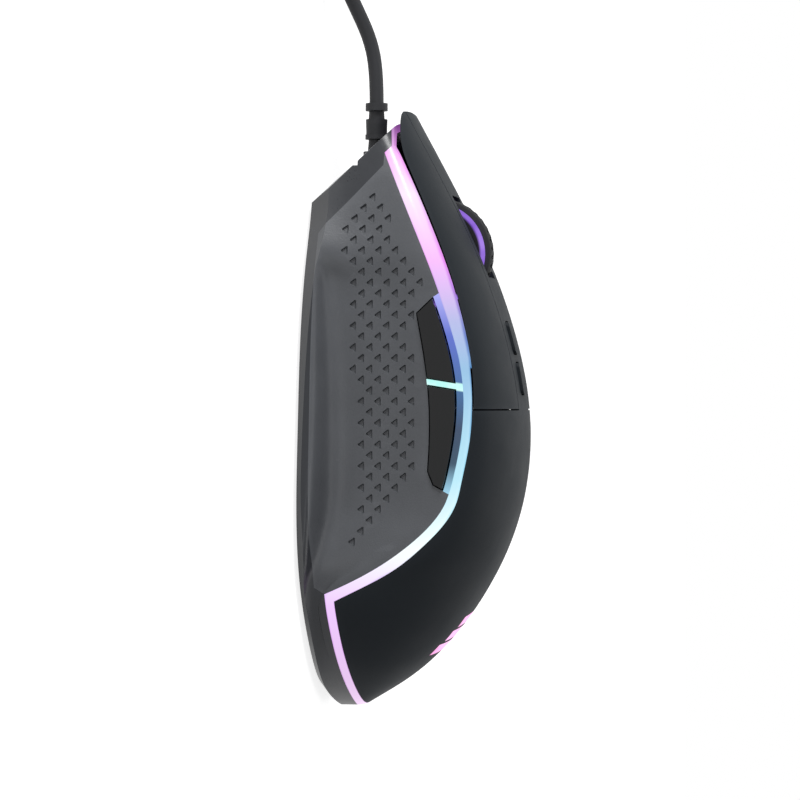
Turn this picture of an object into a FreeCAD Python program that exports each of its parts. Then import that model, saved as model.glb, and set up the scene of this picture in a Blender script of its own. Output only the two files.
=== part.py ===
"""A wired right-handed gaming mouse, nose towards -Y, thumb side towards +X, standing on its glides at Z = 0.

The outer body is one freeform skin. It is hollowed to a wall and split, in the side view, into the base, the
side panels, the light strip, the palm cover, the centre spine and the two main buttons. Inside are the circuit
boards, switches, wheel carrier and sensor. A limp lead leaves the nose and ends in a coil with its plug.
"""
import FreeCAD, Part
import math
import os
from FreeCAD import Placement, Rotation, Vector

DOCUMENT = FreeCAD.newDocument("gaming_mouse")
SHEET = DOCUMENT.addObject("Spreadsheet::Sheet", "Sizes")

# The body that the side-view and plan curves below are drawn for. The sheet's own sizes scale them.
DRAWN_LENGTH = 125.0
DRAWN_WIDTH = 74.0
DRAWN_HEIGHT = 42.5

SIZES = [
    ("body_length", 125.0, "nose to tail"),
    ("body_width", 74.0, "across the widest part of the skirt"),
    ("body_height", 42.5, "table to the top of the hump"),
    ("wall", 1.8, "shell wall, and the floor's thickness"),
    ("glide_thickness", 0.8, "low-friction foot, stands the base off the table"),
    ("hinge_seam", 0.3, "gap between a main button and the palm cover"),
    ("spine_half_width", 7.2, "half the centre spine between the main buttons"),
    ("button_gap", 0.35, "gap between a main button and the spine"),
    ("boss_height", 3.4, "circuit board above the floor"),
    ("board_thickness", 1.6, "main and side circuit boards"),
    ("board_edge_room", 2.7, "main board's edge to the shell's wall"),
    ("boss_radius", 2.6, "board bosses on the floor"),
    ("screw_radius", 1.0, "screw shanks"),
    ("screw_head_radius", 1.9, "screw heads"),
    ("screw_head_height", 1.2, "screw heads"),
    ("screw_length", 9.0, "case screws, under the head"),
    ("post_radius", 2.5, "palm cover's screw posts"),
    ("switch_length", 12.8, "main micro-switch, across the mouse"),
    ("switch_width", 5.8, "main micro-switch, along the mouse"),
    ("switch_height", 6.5, "main micro-switch body"),
    ("plunger_length", 2.6, "main plunger, across the mouse"),
    ("plunger_width", 1.4, "main plunger, along the mouse"),
    ("plunger_reach", 1.4, "how far a plunger stands inside its switch at rest"),
    ("plunger_gap", 0.45, "plunger to the walls of its slot"),
    ("tact_side", 6.0, "square tact switch"),
    ("tact_height", 4.3, "square tact switch, board to top"),
    ("wheel_radius", 12.0, "scroll wheel over its tyre"),
    ("wheel_width", 7.6, "scroll wheel with its light rings"),
    ("tyre_width", 5.0, "rubber tyre"),
    ("tyre_thickness", 1.9, "rubber tyre"),
    ("wheel_proud", 2.2, "wheel above the spine's surface"),
    ("wheel_room", 0.8, "slot's clearance round the wheel"),
    ("axle_radius", 1.5, "wheel axle"),
    ("pivot_radius", 1.0, "wheel carrier's pivot pin"),
    ("running_clearance", 0.05, "pin or axle in its bore, radial"),
    ("carrier_arm", 1.6, "thickness of the wheel carrier's arms"),
    ("dpi_length", 6.5, "resolution button, along the mouse"),
    ("dpi_width", 5.0, "resolution button, across"),
    ("small_gap", 0.3, "small buttons to the edges of their openings"),
    ("button_proud", 0.6, "thumb and resolution buttons above the skin"),
    ("thumb_band", 1.4, "light guide between the strip and the thumb buttons"),
    ("thumb_divider", 1.1, "light guide between the two thumb buttons"),
    ("lead_radius", 1.5, "lead's outside"),
    ("relief_height", 10.7, "lead's axis above the table at the nose"),
    ("relief_radius", 2.8, "strain relief in the nose wall"),
    ("coil_turns", 4.0, "turns side by side, and turns on each other"),
    ("coil_mean_radius", 18.0, "middle of the lead's turns"),
    ("tie_thickness", 0.6, "strap round the coil, under and over it"),
    ("tie_width", 6.0, "strap round the coil"),
    ("plug_width", 15.5, "plug's grip"),
    ("plug_height", 7.6, "plug's grip"),
    ("plug_length", 22.0, "plug's grip"),
    ("plug_shell_width", 12.0, "plug's metal shell"),
    ("plug_shell_height", 4.5, "plug's metal shell"),
    ("plug_shell_length", 13.5, "plug's metal shell beyond the grip"),
    ("plug_shell_wall", 0.3, "plug's metal shell"),
]

for row, (alias, value, note) in enumerate(SIZES, start=1):
    SHEET.set(f"A{row}", note)
    SHEET.set(f"B{row}", str(value))
    SHEET.setAlias(f"B{row}", alias)
DOCUMENT.recompute()


def size(alias):
    """The sheet's value of one driving dimension."""
    return float(getattr(SHEET, alias))


KX = size("body_width") / DRAWN_WIDTH
KY = size("body_length") / DRAWN_LENGTH
KZ = size("body_height") / DRAWN_HEIGHT
WALL = size("wall")
RIDE = size("glide_thickness")
FLOOR_TOP = RIDE + WALL
BOARD_BOTTOM = FLOOR_TOP + size("boss_height")
BOARD_TOP = BOARD_BOTTOM + size("board_thickness")
FAR = 80.0 * max(KX, KY, KZ, 1.0)

# ---------------------------------------------------------------- curves of the body, in the drawn millimetres

CROWN = [(-70, 14.5), (-62, 18.6), (-44, 28), (-30, 34.4), (-15, 39.4), (5, 42.5), (20, 41), (32, 37),
         (41, 32), (50, 25), (57, 16.9), (61.5, 9.6), (62.5, 8)]
SHOULDER = [(-70, 15), (-62, 18), (-52.6, 21.5), (-44, 24), (-31, 26.5), (-15, 27.6), (5, 27.8), (20, 28),
            (32, 29), (38, 28.7), (44, 26.2), (50, 22), (56, 15.5), (60, 8.8), (61.8, 4.5), (62.5, 2)]
FOOT = [(-70, 10), (-62, 15), (-45, 25), (-31, 30), (-15, 33.8), (5, 36), (20, 37), (30, 35.8), (40, 31),
        (48, 25), (54, 18.8), (58, 13.2), (61, 7.2), (62, 4.4), (62.5, 2)]
SPRING = [(-70, 10), (-52.6, 16.3), (-44, 19.9), (-31.5, 25.2), (-19, 30), (-10.4, 32.6), (0, 33.6),
          (10, 32.4), (19, 29.8), (23.3, 26.9), (27.5, 22.4), (31.7, 16.5), (35.9, 8.6), (37.6, 6.4),
          (40.2, 5.7), (48.6, 6.2), (62.5, 7.2)]
STRIP_LOW = [(-52.6, 16.3), (-44.2, 19.9), (-35.7, 23.6), (-27.3, 27.1), (-18.9, 30.1), (-10.4, 32.6),
             (-2, 33.6), (6.4, 33), (14.9, 31.2), (19.1, 29.8), (23.3, 26.9), (27.5, 22.4), (31.7, 16.5),
             (35.9, 8.6), (37.4, 5.2)]
STRIP_HIGH = [(-52.6, 18.9), (-44.2, 23), (-35.7, 26.8), (-27.3, 30.1), (-18.9, 32.7), (-10.4, 34.6),
              (-2, 35.3), (6.4, 34.8), (14.9, 33.1), (19.1, 32), (23.3, 29.5), (27.5, 25.5), (31.7, 20.5),
              (35.9, 13.2), (38.9, 7.1)]
TAIL_LOW = [(37.4, 5.2), (48.6, 6), (57, 6.8), (66, 7.8)]
TAIL_HIGH = [(38.9, 7.1), (48.6, 7.8), (57, 8.6), (66, 9.6)]
CREASE_FOOT = (-36, 3.4)
CREASE_HEAD = (-50, 16.2)
SKIRT_REAR = (36, 3.4)
SLOT_FRONT = (-70, 15.6)
SLOT_REAR = (-54, 17.65)
SLOT_GUIDE = 0.45
NOSE_Y = -66.0
TAIL_Y = 62.5
STATIONS = [NOSE_Y, -60, -52, -44, -36, -31, -27, -22, -14, -4, 4, 12, 20, 26, 31, 35.5, 39.5, 44, 48.5,
            52.5, 56, 58.8, 60.8, 62]
# Plan outline of the floor, from which the underside flares out at 50 degrees.
HULL = [(-50, 19), (-40, 21), (-31, 25.7), (-15, 31.5), (5, 34.4), (20, 35.6), (32, 33.6), (42, 28),
        (50, 20.8), (56, 12.5)]
HULL_TAIL = 58.5
HULL_RISE = 10.0
HULL_FLARE = 12.0
# A section's side runs from the foot up to the spring line: how high, and how far out from the shoulder to the
# foot, first where the side is plain and then where the thumb rest hollows it.
SIDE_HEIGHT = [None, 0.05, 0.10, 0.17, 0.25, 0.36, 0.65, 1.0]
SIDE_PLAIN = [1.0, 1.0, 0.95, 0.86, 0.70, 0.45, 0.12, 0.0]
SIDE_SCOOP = [1.0, 1.0, 0.93, 0.25, 0.02, 0.0, -0.10, 0.0]
ARCH_STEPS = 7
ARCH_POWER = 2.3
BELOW_FLOOR = -2.0


def curve(points):
    """A smooth function of Y through hand-placed points."""
    spline = Part.BSplineCurve()
    spline.interpolate([Vector(y, value, 0) for y, value in points])
    first, last = points[0][0], points[-1][0]

    def value(y):
        wanted = min(max(y, first), last)
        low, high = spline.FirstParameter, spline.LastParameter
        for _ in range(50):
            middle = (low + high) / 2
            if spline.value(middle).x < wanted:
                low = middle
            else:
                high = middle
        return spline.value(low).y

    return value


crown, shoulder, foot, spring = (curve(points) for points in (CROWN, SHOULDER, FOOT, SPRING))
strip_low, strip_high = curve(STRIP_LOW), curve(STRIP_HIGH)


def smooth_step(t):
    t = min(max(t, 0.0), 1.0)
    return t * t * (3 - 2 * t)


def section(y, inset):
    """Half a cross-section at the drawn station y, from under the floor up to the crown, pulled in by inset."""
    half, flare = shoulder(y) * KX, max(foot(y), shoulder(y)) * KX
    level, top = spring(y) * KZ, crown(y) * KZ - inset
    hollow = smooth_step((y + 33) / 8) * (1 - smooth_step((y - 20) / 25))
    points = []
    for step, share in enumerate(SIDE_HEIGHT):
        out = SIDE_PLAIN[step] * (1 - hollow) + SIDE_SCOOP[step] * hollow
        x = half + (flare - half) * out
        z = BELOW_FLOOR if share is None else RIDE + (level - RIDE) * share
        points.append((x - inset * min(1.0, x / 8), z))
    narrowed = half - inset * min(1.0, half / 8)
    for step in range(1, ARCH_STEPS + 1):
        turn = math.radians(90 * step / ARCH_STEPS)
        x = narrowed * math.cos(turn) ** (2 / ARCH_POWER) if step < ARCH_STEPS else 0.0
        points.append((x, level + (top - level) * math.sin(turn) ** (2 / ARCH_POWER)))
    return points


def skin_height(x, y, inset):
    """Height of the arch over the point x, y in real millimetres, pulled in by inset."""
    drawn = y / KY
    half = shoulder(drawn) * KX - inset
    level, top = spring(drawn) * KZ, crown(drawn) * KZ - inset
    share = 1 - (min(abs(x), half) / half) ** ARCH_POWER
    return level + (top - level) * share ** (1 / ARCH_POWER)


def skin_solid(inset):
    """The closed solid inside the freeform skin, pulled in by inset, running on below the floor."""
    tail = TAIL_Y * KY
    rows = []
    for y in STATIONS:
        half = section(y, inset)
        along = y * KY * (tail - inset) / tail if y > 0 else y * KY
        right = [Vector(x, along, z) for x, z in half]
        left = [Vector(-x, along, z) for x, z in reversed(half[:-1])]
        rows.append(right + left)
    surface = Part.BSplineSurface()
    surface.interpolate(rows)
    u0, u1, v0, v1 = surface.bounds()
    nose_edge = Part.makeLine(rows[0][0], rows[0][-1])
    tail_edge = Part.makeLine(rows[-1][0], rows[-1][-1])
    nose_cap = Part.Face(Part.Wire([surface.uIso(u0).toShape(), nose_edge]))
    tail_cap = Part.Face(Part.Wire([surface.uIso(u1).toShape(), tail_edge]))
    sides = [surface.vIso(v0).toShape(), tail_edge, surface.vIso(v1).toShape(), nose_edge]
    bottom = Part.Face(Part.Wire(Part.sortEdges(sides)[0]))
    shell = Part.Shell([surface.toShape(), nose_cap, tail_cap, bottom])
    shell.sewShape()
    solid = Part.Solid(shell)
    if solid.Volume < 0:
        solid.reverse()
    return solid


def arc_prism(z, front, side, half, rear, direction):
    """A prism on a plan outline with a bowed front through (0, front) and (+-half, side)."""
    left, tip, right = Vector(-half, side, z), Vector(0, front, z), Vector(half, side, z)
    back_right, back_left = Vector(half, rear, z), Vector(-half, rear, z)
    edges = [Part.Arc(left, tip, right).toShape(), Part.makeLine(right, back_right)]
    edges += [Part.makeLine(back_right, back_left), Part.makeLine(back_left, left)]
    return Part.Face(Part.Wire(edges)).extrude(direction)


def nose_limit(inset):
    """What the nose keeps: behind a chin that slants forward as it rises, and behind the bowed tips above it."""
    split = 18.0 * KZ
    chin_low = -5.0 * KZ
    slope = Vector(0, -20.5 * KY, split - chin_low)
    chin = arc_prism(chin_low, -40 * KY + inset, -26 * KY + inset, 45 * KX, 110 * KY, slope)
    tips = arc_prism(split, -62.5 * KY + inset, -50 * KY + inset, 45 * KX, 110 * KY, Vector(0, 0, 40 * KZ))
    return chin.fuse(tips)


def hull_ring(out, z):
    """The floor's plan outline moved outward, as a wire at height z."""
    right = [Vector(x * KX + out, y * KY, z) for y, x in HULL]
    right[-1].y += 0.6 * out
    tail = [Vector(0, HULL_TAIL * KY + out, z)]
    left = [Vector(-p.x, p.y, z) for p in reversed(right)]
    spline = Part.BSplineCurve()
    spline.interpolate(right + tail + left)
    return Part.Wire([spline.toShape(), Part.makeLine(left[-1], right[0])])


def underside_waste(inset):
    """Everything outside the flared underside, up to the height where the flare ends."""
    low, high = RIDE + inset, RIDE + HULL_RISE + inset
    hull = Part.makeLoft([hull_ring(-inset, low), hull_ring(HULL_FLARE - inset, high)], True, True)
    wide = Part.makeBox(3 * FAR, 3 * FAR, high + FAR, Vector(-1.5 * FAR, -1.5 * FAR, -FAR))
    return wide.cut(hull)


def trimmed_body(inset, floor):
    """The skin's solid cut to the floor, the nose and the flared underside."""
    below = Part.makeBox(3 * FAR, 3 * FAR, FAR, Vector(-1.5 * FAR, -1.5 * FAR, floor - FAR))
    body = skin_solid(inset).cut(below).common(nose_limit(inset))
    return body.cut(underside_waste(inset))


OUTER = trimmed_body(0.0, RIDE)
INNER = trimmed_body(WALL, FLOOR_TOP)
CORE = trimmed_body(WALL / 2, RIDE + WALL / 2)
PROUD = skin_solid(-size("button_proud"))
SHELL = OUTER.cut(INNER)


# ---------------------------------------------------------------- side-view regions, cut through along X


def place(point, x=0.0):
    """A drawn side-view point in real millimetres."""
    return Vector(x, point[0] * KY, point[1] * KZ)


def lines(*points):
    """Straight edges through drawn side-view points."""
    return [Part.makeLine(place(a), place(b)) for a, b in zip(points, points[1:])]


def bend(points):
    """One smooth edge through drawn side-view points."""
    spline = Part.BSplineCurve()
    spline.interpolate([place(point) for point in points])
    return spline.toShape()


def region(edges):
    """The flat side-view face inside a closed run of edges."""
    return Part.Face(Part.Wire(Part.sortEdges(edges)[0]))


def prism(face, low=None, high=None):
    """A side-view face pushed through the body from x = low to x = high."""
    low = -FAR if low is None else low
    high = FAR if high is None else high
    moved = face.copy()
    moved.translate(Vector(low, 0, 0))
    return moved.extrude(Vector(high - low, 0, 0))


def base_region():
    edges = lines((66, 7.8), (66, -9), (-70, -9), SLOT_FRONT, SLOT_REAR, STRIP_LOW[0], CREASE_HEAD)
    edges += lines(CREASE_HEAD, CREASE_FOOT, SKIRT_REAR, STRIP_LOW[-1])
    return region(edges + [bend(TAIL_LOW)])


def side_region():
    edges = lines(STRIP_LOW[0], CREASE_HEAD, CREASE_FOOT, SKIRT_REAR, STRIP_LOW[-1])
    return region(edges + [bend(STRIP_LOW)])


def raised(point):
    return (point[0], point[1] + SLOT_GUIDE)


def strip_region():
    edges = lines(STRIP_LOW[0], SLOT_REAR, SLOT_FRONT, raised(SLOT_FRONT), raised(SLOT_REAR), STRIP_HIGH[0])
    edges += [bend(STRIP_LOW), bend(TAIL_LOW), bend(TAIL_HIGH), bend(STRIP_HIGH)]
    return region(edges + lines(TAIL_LOW[-1], TAIL_HIGH[-1]))


def upper_region():
    edges = lines(STRIP_HIGH[0], raised(SLOT_REAR), raised(SLOT_FRONT), (-70, 60), (66, 60), TAIL_HIGH[-1])
    return region(edges + [bend(STRIP_HIGH), bend(TAIL_HIGH)])


def mirrored(shape):
    """The same piece on the other side of the mouse."""
    return shape.mirror(Vector(0, 0, 0), Vector(1, 0, 0))


def far_side(face, high=0.0):
    """The shell's piece behind a side-view face, on the side without thumb buttons."""
    return SHELL.common(prism(face, high=high))


def drawn_in(face, gap):
    """The face pulled in by a gap all round, with its curves as short straight runs."""
    wire = face.makeOffset2D(-gap).Faces[0].OuterWire
    points = wire.discretize(Deflection=0.02)
    return Part.Face(Part.makePolygon(points + points[:1]))


def both_sides(face):
    """The shell's piece all the way across, as two mirrored halves made one."""
    half = far_side(face)
    return half.fuse(mirrored(half)).removeSplitter()


# The main buttons sink most at the nose, so their lower edge rises off the strip towards it.
BUTTON_EDGE_REST = 0.25
BUTTON_EDGE_RISE = 0.0105
BUTTON_NOSE = [(-70, 17.1), (-57, 18.7), (-53.5, 19.6)]


def button_region():
    rear = -size("hinge_seam") / 2 / KY
    stops = [-48, -40, -32, -24, -16, -8, rear]
    edge = BUTTON_NOSE + [(y, strip_high(y) + (BUTTON_EDGE_REST - BUTTON_EDGE_RISE * y) / KZ) for y in stops]
    return region([bend(edge)] + lines(edge[-1], (rear, 60), (-70, 60), edge[0]))


POCKET_FRONT = [(-23.6, 28.46), (-22.6, 26.9), (-19.6, 23.7)]
POCKET_LOW = [(-19.6, 23.7), (-11.3, 25.2), (-3, 26.2), (4, 26.4), (12.5, 26)]
POCKET_REAR = [(12.5, 26), (15.3, 27.2), (17, 30.5)]
DIVIDER_LEAN = 0.16
DIVIDER_Y = -5.2
DIVIDER_Z = 29.0


def pocket_region():
    """The opening for the thumb buttons and their light guide, closed by a curve inside the light strip."""
    mid = [(y, (strip_low(y) + strip_high(y)) / 2) for y in (-23.6, -16, -8, 0, 8, 17)]
    edges = lines(*POCKET_FRONT) + lines(*POCKET_REAR) + lines(POCKET_REAR[-1], mid[-1])
    return region(edges + [bend(POCKET_LOW), bend(mid)] + lines(POCKET_FRONT[0], mid[0]))


def thumb_openings():
    """The two openings that the thumb light guide leaves for the front and the rear button."""
    band = size("thumb_band") / KZ
    top = [(y, strip_low(y) - band) for y in (-30, -22, -14, -6, 2, 10, 17, 20)]
    below = region([bend(top)] + lines(top[-1], (20, 10), (-30, 10), top[0]))
    half = size("thumb_divider") / 2 / KY
    found = []
    for side in (-1, 1):
        low = (DIVIDER_Y + side * half - DIVIDER_LEAN * (DIVIDER_Z - 10), 10)
        high = (DIVIDER_Y + side * half + DIVIDER_LEAN * (45 - DIVIDER_Z), 45)
        far = side * 60
        part = region(lines(low, high, (far, 45), (far, 10), low))
        found.append(pocket_region().common(below).common(part).Faces[0])
    return found


# ---------------------------------------------------------------- document features

KEPT = {}


def keep(feature, label):
    """Names a finished sub-part. Its label is its file's name."""
    feature.Label = label
    KEPT[label] = feature
    return feature


def computed(label, shape):
    """A freeform piece that no primitive or sketch can give."""
    feature = DOCUMENT.addObject("Part::Feature", label)
    feature.Shape = shape.Solids[0] if len(shape.Solids) == 1 else shape
    return feature


def bind(feature, **sizes):
    """Ties a feature's sizes to the sheet where they are written as expressions, and sets derived ones."""
    for name, value in sizes.items():
        if isinstance(value, str):
            feature.setExpression(name, value)
        else:
            setattr(feature, name, value)
    return feature


def box(corner, length, width, height):
    feature = DOCUMENT.addObject("Part::Box", "block")
    bind(feature, Length=length, Width=width, Height=height)
    feature.Placement = Placement(Vector(*corner), Rotation())
    return feature


def aim(axis):
    return Rotation(Vector(0, 0, 1), Vector(*axis))


def cylinder(start, axis, radius, height):
    feature = DOCUMENT.addObject("Part::Cylinder", "round")
    bind(feature, Radius=radius, Height=height)
    feature.Placement = Placement(Vector(*start), aim(axis))
    return feature


def cone(start, axis, radius_start, radius_end, height):
    feature = DOCUMENT.addObject("Part::Cone", "taper")
    bind(feature, Radius1=radius_start, Radius2=radius_end, Height=height)
    feature.Placement = Placement(Vector(*start), aim(axis))
    return feature


def joined(*features):
    feature = DOCUMENT.addObject("Part::MultiFuse", "join")
    feature.Shapes = list(features)
    return feature


def shared(first, second):
    feature = DOCUMENT.addObject("Part::Common", "shared")
    feature.Base = first
    feature.Tool = second
    return feature


def less(base, *tools):
    """The base with the tools taken away."""
    feature = DOCUMENT.addObject("Part::Cut", "cut")
    feature.Base = base
    feature.Tool = tools[0] if len(tools) == 1 else joined(*tools)
    return feature


def rounded_block(corner, length, width, height, radius, axis=2):
    """A block whose edges along one axis are rounded."""
    block = box(corner, length, width, height)
    DOCUMENT.recompute()
    feature = DOCUMENT.addObject("Part::Fillet", "rounded")
    feature.Base = block
    picked = []
    for index, edge in enumerate(block.Shape.Edges, start=1):
        along = edge.Vertexes[1].Point - edge.Vertexes[0].Point
        if abs(along[axis]) > 0.99 * along.Length:
            picked.append((index, radius, radius))
    feature.Edges = picked
    return feature


def board(label, corner, length, width, holes=()):
    """A circuit board: a padded sketch of its outline and of its round holes (x, y, radius)."""
    body = DOCUMENT.addObject("PartDesign::Body", label + "_body")
    sketch = body.newObject("Sketcher::SketchObject", label + "_outline")
    plane = next(f for f in body.Origin.OriginFeatures if f.Role == "XY_Plane")
    sketch.AttachmentSupport = [(plane, "")]
    sketch.MapMode = "FlatFace"
    left, front = corner[0], corner[1]
    ring = [(left, front), (left + length, front), (left + length, front + width), (left, front + width)]
    for (x1, y1), (x2, y2) in zip(ring, ring[1:] + ring[:1]):
        sketch.addGeometry(Part.LineSegment(Vector(x1, y1, 0), Vector(x2, y2, 0)), False)
    for x, y, radius in holes:
        sketch.addGeometry(Part.Circle(Vector(x, y, 0), Vector(0, 0, 1), radius), False)
    pad = body.newObject("PartDesign::Pad", label + "_pad")
    pad.Profile = sketch
    pad.setExpression("Length", "Sizes.board_thickness")
    body.Placement = Placement(Vector(0, 0, corner[2]), Rotation())
    return body


# ---------------------------------------------------------------- outer shells

SCREW_POSTS = [(-14 * KX, 38 * KY), (14 * KX, 38 * KY)]
SENSOR_Y = 5 * KY
SENSOR_HOLE = 4.0
BOARD_FRONT = -42 * KY
BOARD_REAR = 24 * KY
BOARD_HALF = shoulder(-42) * KX - WALL - size("board_edge_room")
BOARD_BOSSES = [(side * (BOARD_HALF - 3.5), y) for y in (-24 * KY, 19 * KY) for side in (-1, 1)]
RELIEF_Z = size("relief_height")
CHIN_Y = -40 * KY - 20.5 * KY * (RELIEF_Z + 5 * KZ) / (23 * KZ)
RELIEF_REAR = CHIN_Y + 7.5
RELIEF_FRONT = CHIN_Y - 10.6
POST_SPLIT = 9.0


def base_shell():
    """Floor, skirt and chin, with the bosses that carry the board and take the case screws."""
    shell = computed("base_skin", both_sides(base_region()))
    features = [shell]
    for x, y in BOARD_BOSSES:
        features.append(cylinder((x, y, FLOOR_TOP - 0.4), (0, 0, 1), "Sizes.boss_radius",
                                 "Sizes.boss_height + 0.4"))
    for x, y in SCREW_POSTS:
        features.append(cylinder((x, y, FLOOR_TOP - 0.4), (0, 0, 1), "Sizes.post_radius + 0.6",
                                 POST_SPLIT - FLOOR_TOP + 0.4))
    whole = joined(*features)
    tools = [cylinder((0, SENSOR_Y, 0), (0, 0, 1), SENSOR_HOLE, FLOOR_TOP + 1)]
    for x, y in SCREW_POSTS:
        tools.append(cylinder((x, y, 0), (0, 0, 1), "Sizes.screw_radius", POST_SPLIT + 1))
        tools.append(cylinder((x, y, 0), (0, 0, 1), "Sizes.screw_head_radius + 0.2",
                              "Sizes.glide_thickness + Sizes.screw_head_height"))
    for x, y in BOARD_BOSSES:
        tools.append(cylinder((x, y, FLOOR_TOP + 0.4), (0, 0, 1), "Sizes.screw_radius",
                              "Sizes.boss_height + 1"))
    tools.append(cylinder((0, RELIEF_FRONT, RELIEF_Z), (0, 1, 0), "Sizes.relief_radius",
                          RELIEF_REAR - RELIEF_FRONT))
    keep(less(whole, *tools), "base_shell")


def side_panels():
    """The hollowed side walls. The thumb side has the opening for the thumb buttons."""
    plain = far_side(side_region())
    opened = plain.cut(prism(pocket_region(), high=0))
    keep(computed("left_side_panel", mirrored(opened)), "left_side_panel")
    keep(computed("right_side_panel", plain), "right_side_panel")


EMBLEM_Y = [42.9, 45.75, 48.6]
EMBLEM_LENGTH = 2.2
EMBLEM_HALF = [4.0, 5.5, 7.0]
EMBLEM_LEAN = 0.8


def emblem_bars():
    """Three short slanted bars one behind another, longer towards the tail, as prisms along Z."""
    bars = []
    for y, half in zip(EMBLEM_Y, EMBLEM_HALF):
        low, high = y * KY, (y + EMBLEM_LENGTH) * KY
        corners = [(-half, low - EMBLEM_LEAN / 2), (half, low + EMBLEM_LEAN / 2),
                   (half, high + EMBLEM_LEAN / 2), (-half, high - EMBLEM_LEAN / 2)]
        ring = [Vector(x, y, 0) for x, y in corners]
        bars.append(Part.Face(Part.makePolygon(ring + ring[:1])).extrude(Vector(0, 0, FAR)))
    return bars


def palm_cover():
    """The hump behind the main buttons, with its screw posts and the openings for the emblem."""
    seam = size("hinge_seam") / 2
    behind = Part.makeBox(3 * FAR, FAR, FAR, Vector(-1.5 * FAR, seam, 0))
    bars = emblem_bars()
    upper_shell = both_sides(upper_region())
    skin = upper_shell.common(behind)
    high_part = Part.makeBox(3 * FAR, 3 * FAR, FAR, Vector(-1.5 * FAR, -FAR, 12 * KZ))
    tools = [bar.common(high_part) for bar in bars]
    opened = skin.cut(tools[0]).cut(tools[1]).cut(tools[2])
    features = [computed("palm_skin", opened)]
    core = computed("post_limit", CORE)
    for x, y in SCREW_POSTS:
        post = cylinder((x, y, POST_SPLIT), (0, 0, 1), "Sizes.post_radius", crown(y / KY) * KZ)
        features.append(shared(post, core))
    holes = [cylinder((x, y, POST_SPLIT - 1), (0, 0, 1), "Sizes.screw_radius", "Sizes.screw_length")
             for x, y in SCREW_POSTS]
    keep(less(joined(*features), *holes), "palm_cover")
    lit = skin.common(tools[0]).fuse([skin.common(tools[1]), skin.common(tools[2])])
    keep(computed("palm_emblem", lit), "palm_emblem")
    return upper_shell


WHEEL_Y = -32.6 * KY
WHEEL_Z = crown(-32.6) * KZ + size("wheel_proud") - size("wheel_radius")
DPI_Y = [-15 * KY, -6.5 * KY]
DPI_BOARD_Z = 30.0 * KZ
DPI_BOARD_THICKNESS = 1.2
DPI_SWITCH_SIDE = 4.5
DPI_SWITCH_HEIGHT = 2.2
DPI_STEM_RADIUS = 1.0
DPI_BOARD = (-19.5 * KY, -2.0 * KY)


def centre_spine(upper_shell):
    """The strip between the main buttons, with the wheel's slot and the openings for the resolution buttons."""
    half = size("spine_half_width")
    seam = size("hinge_seam") / 2
    limit = Part.makeBox(2 * half, FAR + seam, FAR, Vector(-half, -FAR, 0))
    skin = computed("spine_skin", upper_shell.common(limit))
    pegs = []
    core = computed("peg_limit", CORE)
    for x in (-half + 1.6, half - 1.6):
        peg = cylinder((x, (DPI_Y[0] + DPI_Y[1]) / 2, DPI_BOARD_Z + DPI_BOARD_THICKNESS), (0, 0, 1), 1.2, 30 * KZ)
        pegs.append(shared(peg, core))
    room = "Sizes.wheel_radius + Sizes.wheel_room"
    slot_half = size("wheel_width") / 2 + size("wheel_room")
    tools = [cylinder((-slot_half, WHEEL_Y, WHEEL_Z), (1, 0, 0), room, 2 * slot_half)]
    gap = size("small_gap")
    for y in DPI_Y:
        corner = (-size("dpi_width") / 2 - gap, y - size("dpi_length") / 2 - gap, DPI_BOARD_Z)
        tools.append(rounded_block(corner, "Sizes.dpi_width + 2 * Sizes.small_gap",
                                   "Sizes.dpi_length + 2 * Sizes.small_gap", 30 * KZ, 1.3))
    keep(less(joined(skin, *pegs), *tools), "centre_spine")


MAIN_SWITCH = (15.0 * KX, -41.5 * KY)
SWITCH_TOP = BOARD_TOP + size("switch_height")
PLUNGER_TOP = SWITCH_TOP + 0.7


def main_buttons():
    """Two thin shells that flex down about the seam in front of the palm cover, each with a post to its switch."""
    core = computed("button_post_limit", CORE)
    inner = size("spine_half_width") + size("button_gap")
    right = far_side(button_region(), high=-inner)
    for name, side, shape in (("left", 1, mirrored(right)), ("right", -1, right)):
        skin = computed(name + "_button_skin", shape)
        x, y = side * MAIN_SWITCH[0], MAIN_SWITCH[1]
        post = box((x - 1.6, y - 1.4, PLUNGER_TOP), 3.2, 2.8, 30 * KZ)
        keep(joined(skin, shared(post, core)), name + "_button")
        bottom = SWITCH_TOP - size("plunger_reach")
        plunger = box((x - size("plunger_length") / 2, y - size("plunger_width") / 2, bottom),
                      "Sizes.plunger_length", "Sizes.plunger_width", PLUNGER_TOP - bottom)
        keep(plunger, name + "_plunger")


def light_strip():
    keep(computed("light_strip", both_sides(strip_region())), "light_strip")


SIDE_BOARD_X = 15.0 * KX
SIDE_BOARD = (-21.5 * KY, 14.0 * KY)
SIDE_BOARD_TOP = 31.0 * KZ
THUMB_SWITCH = [(-13.5 * KY, 27.6 * KZ), (5.5 * KY, 28.3 * KZ)]
STEM_HALF = 1.5


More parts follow.
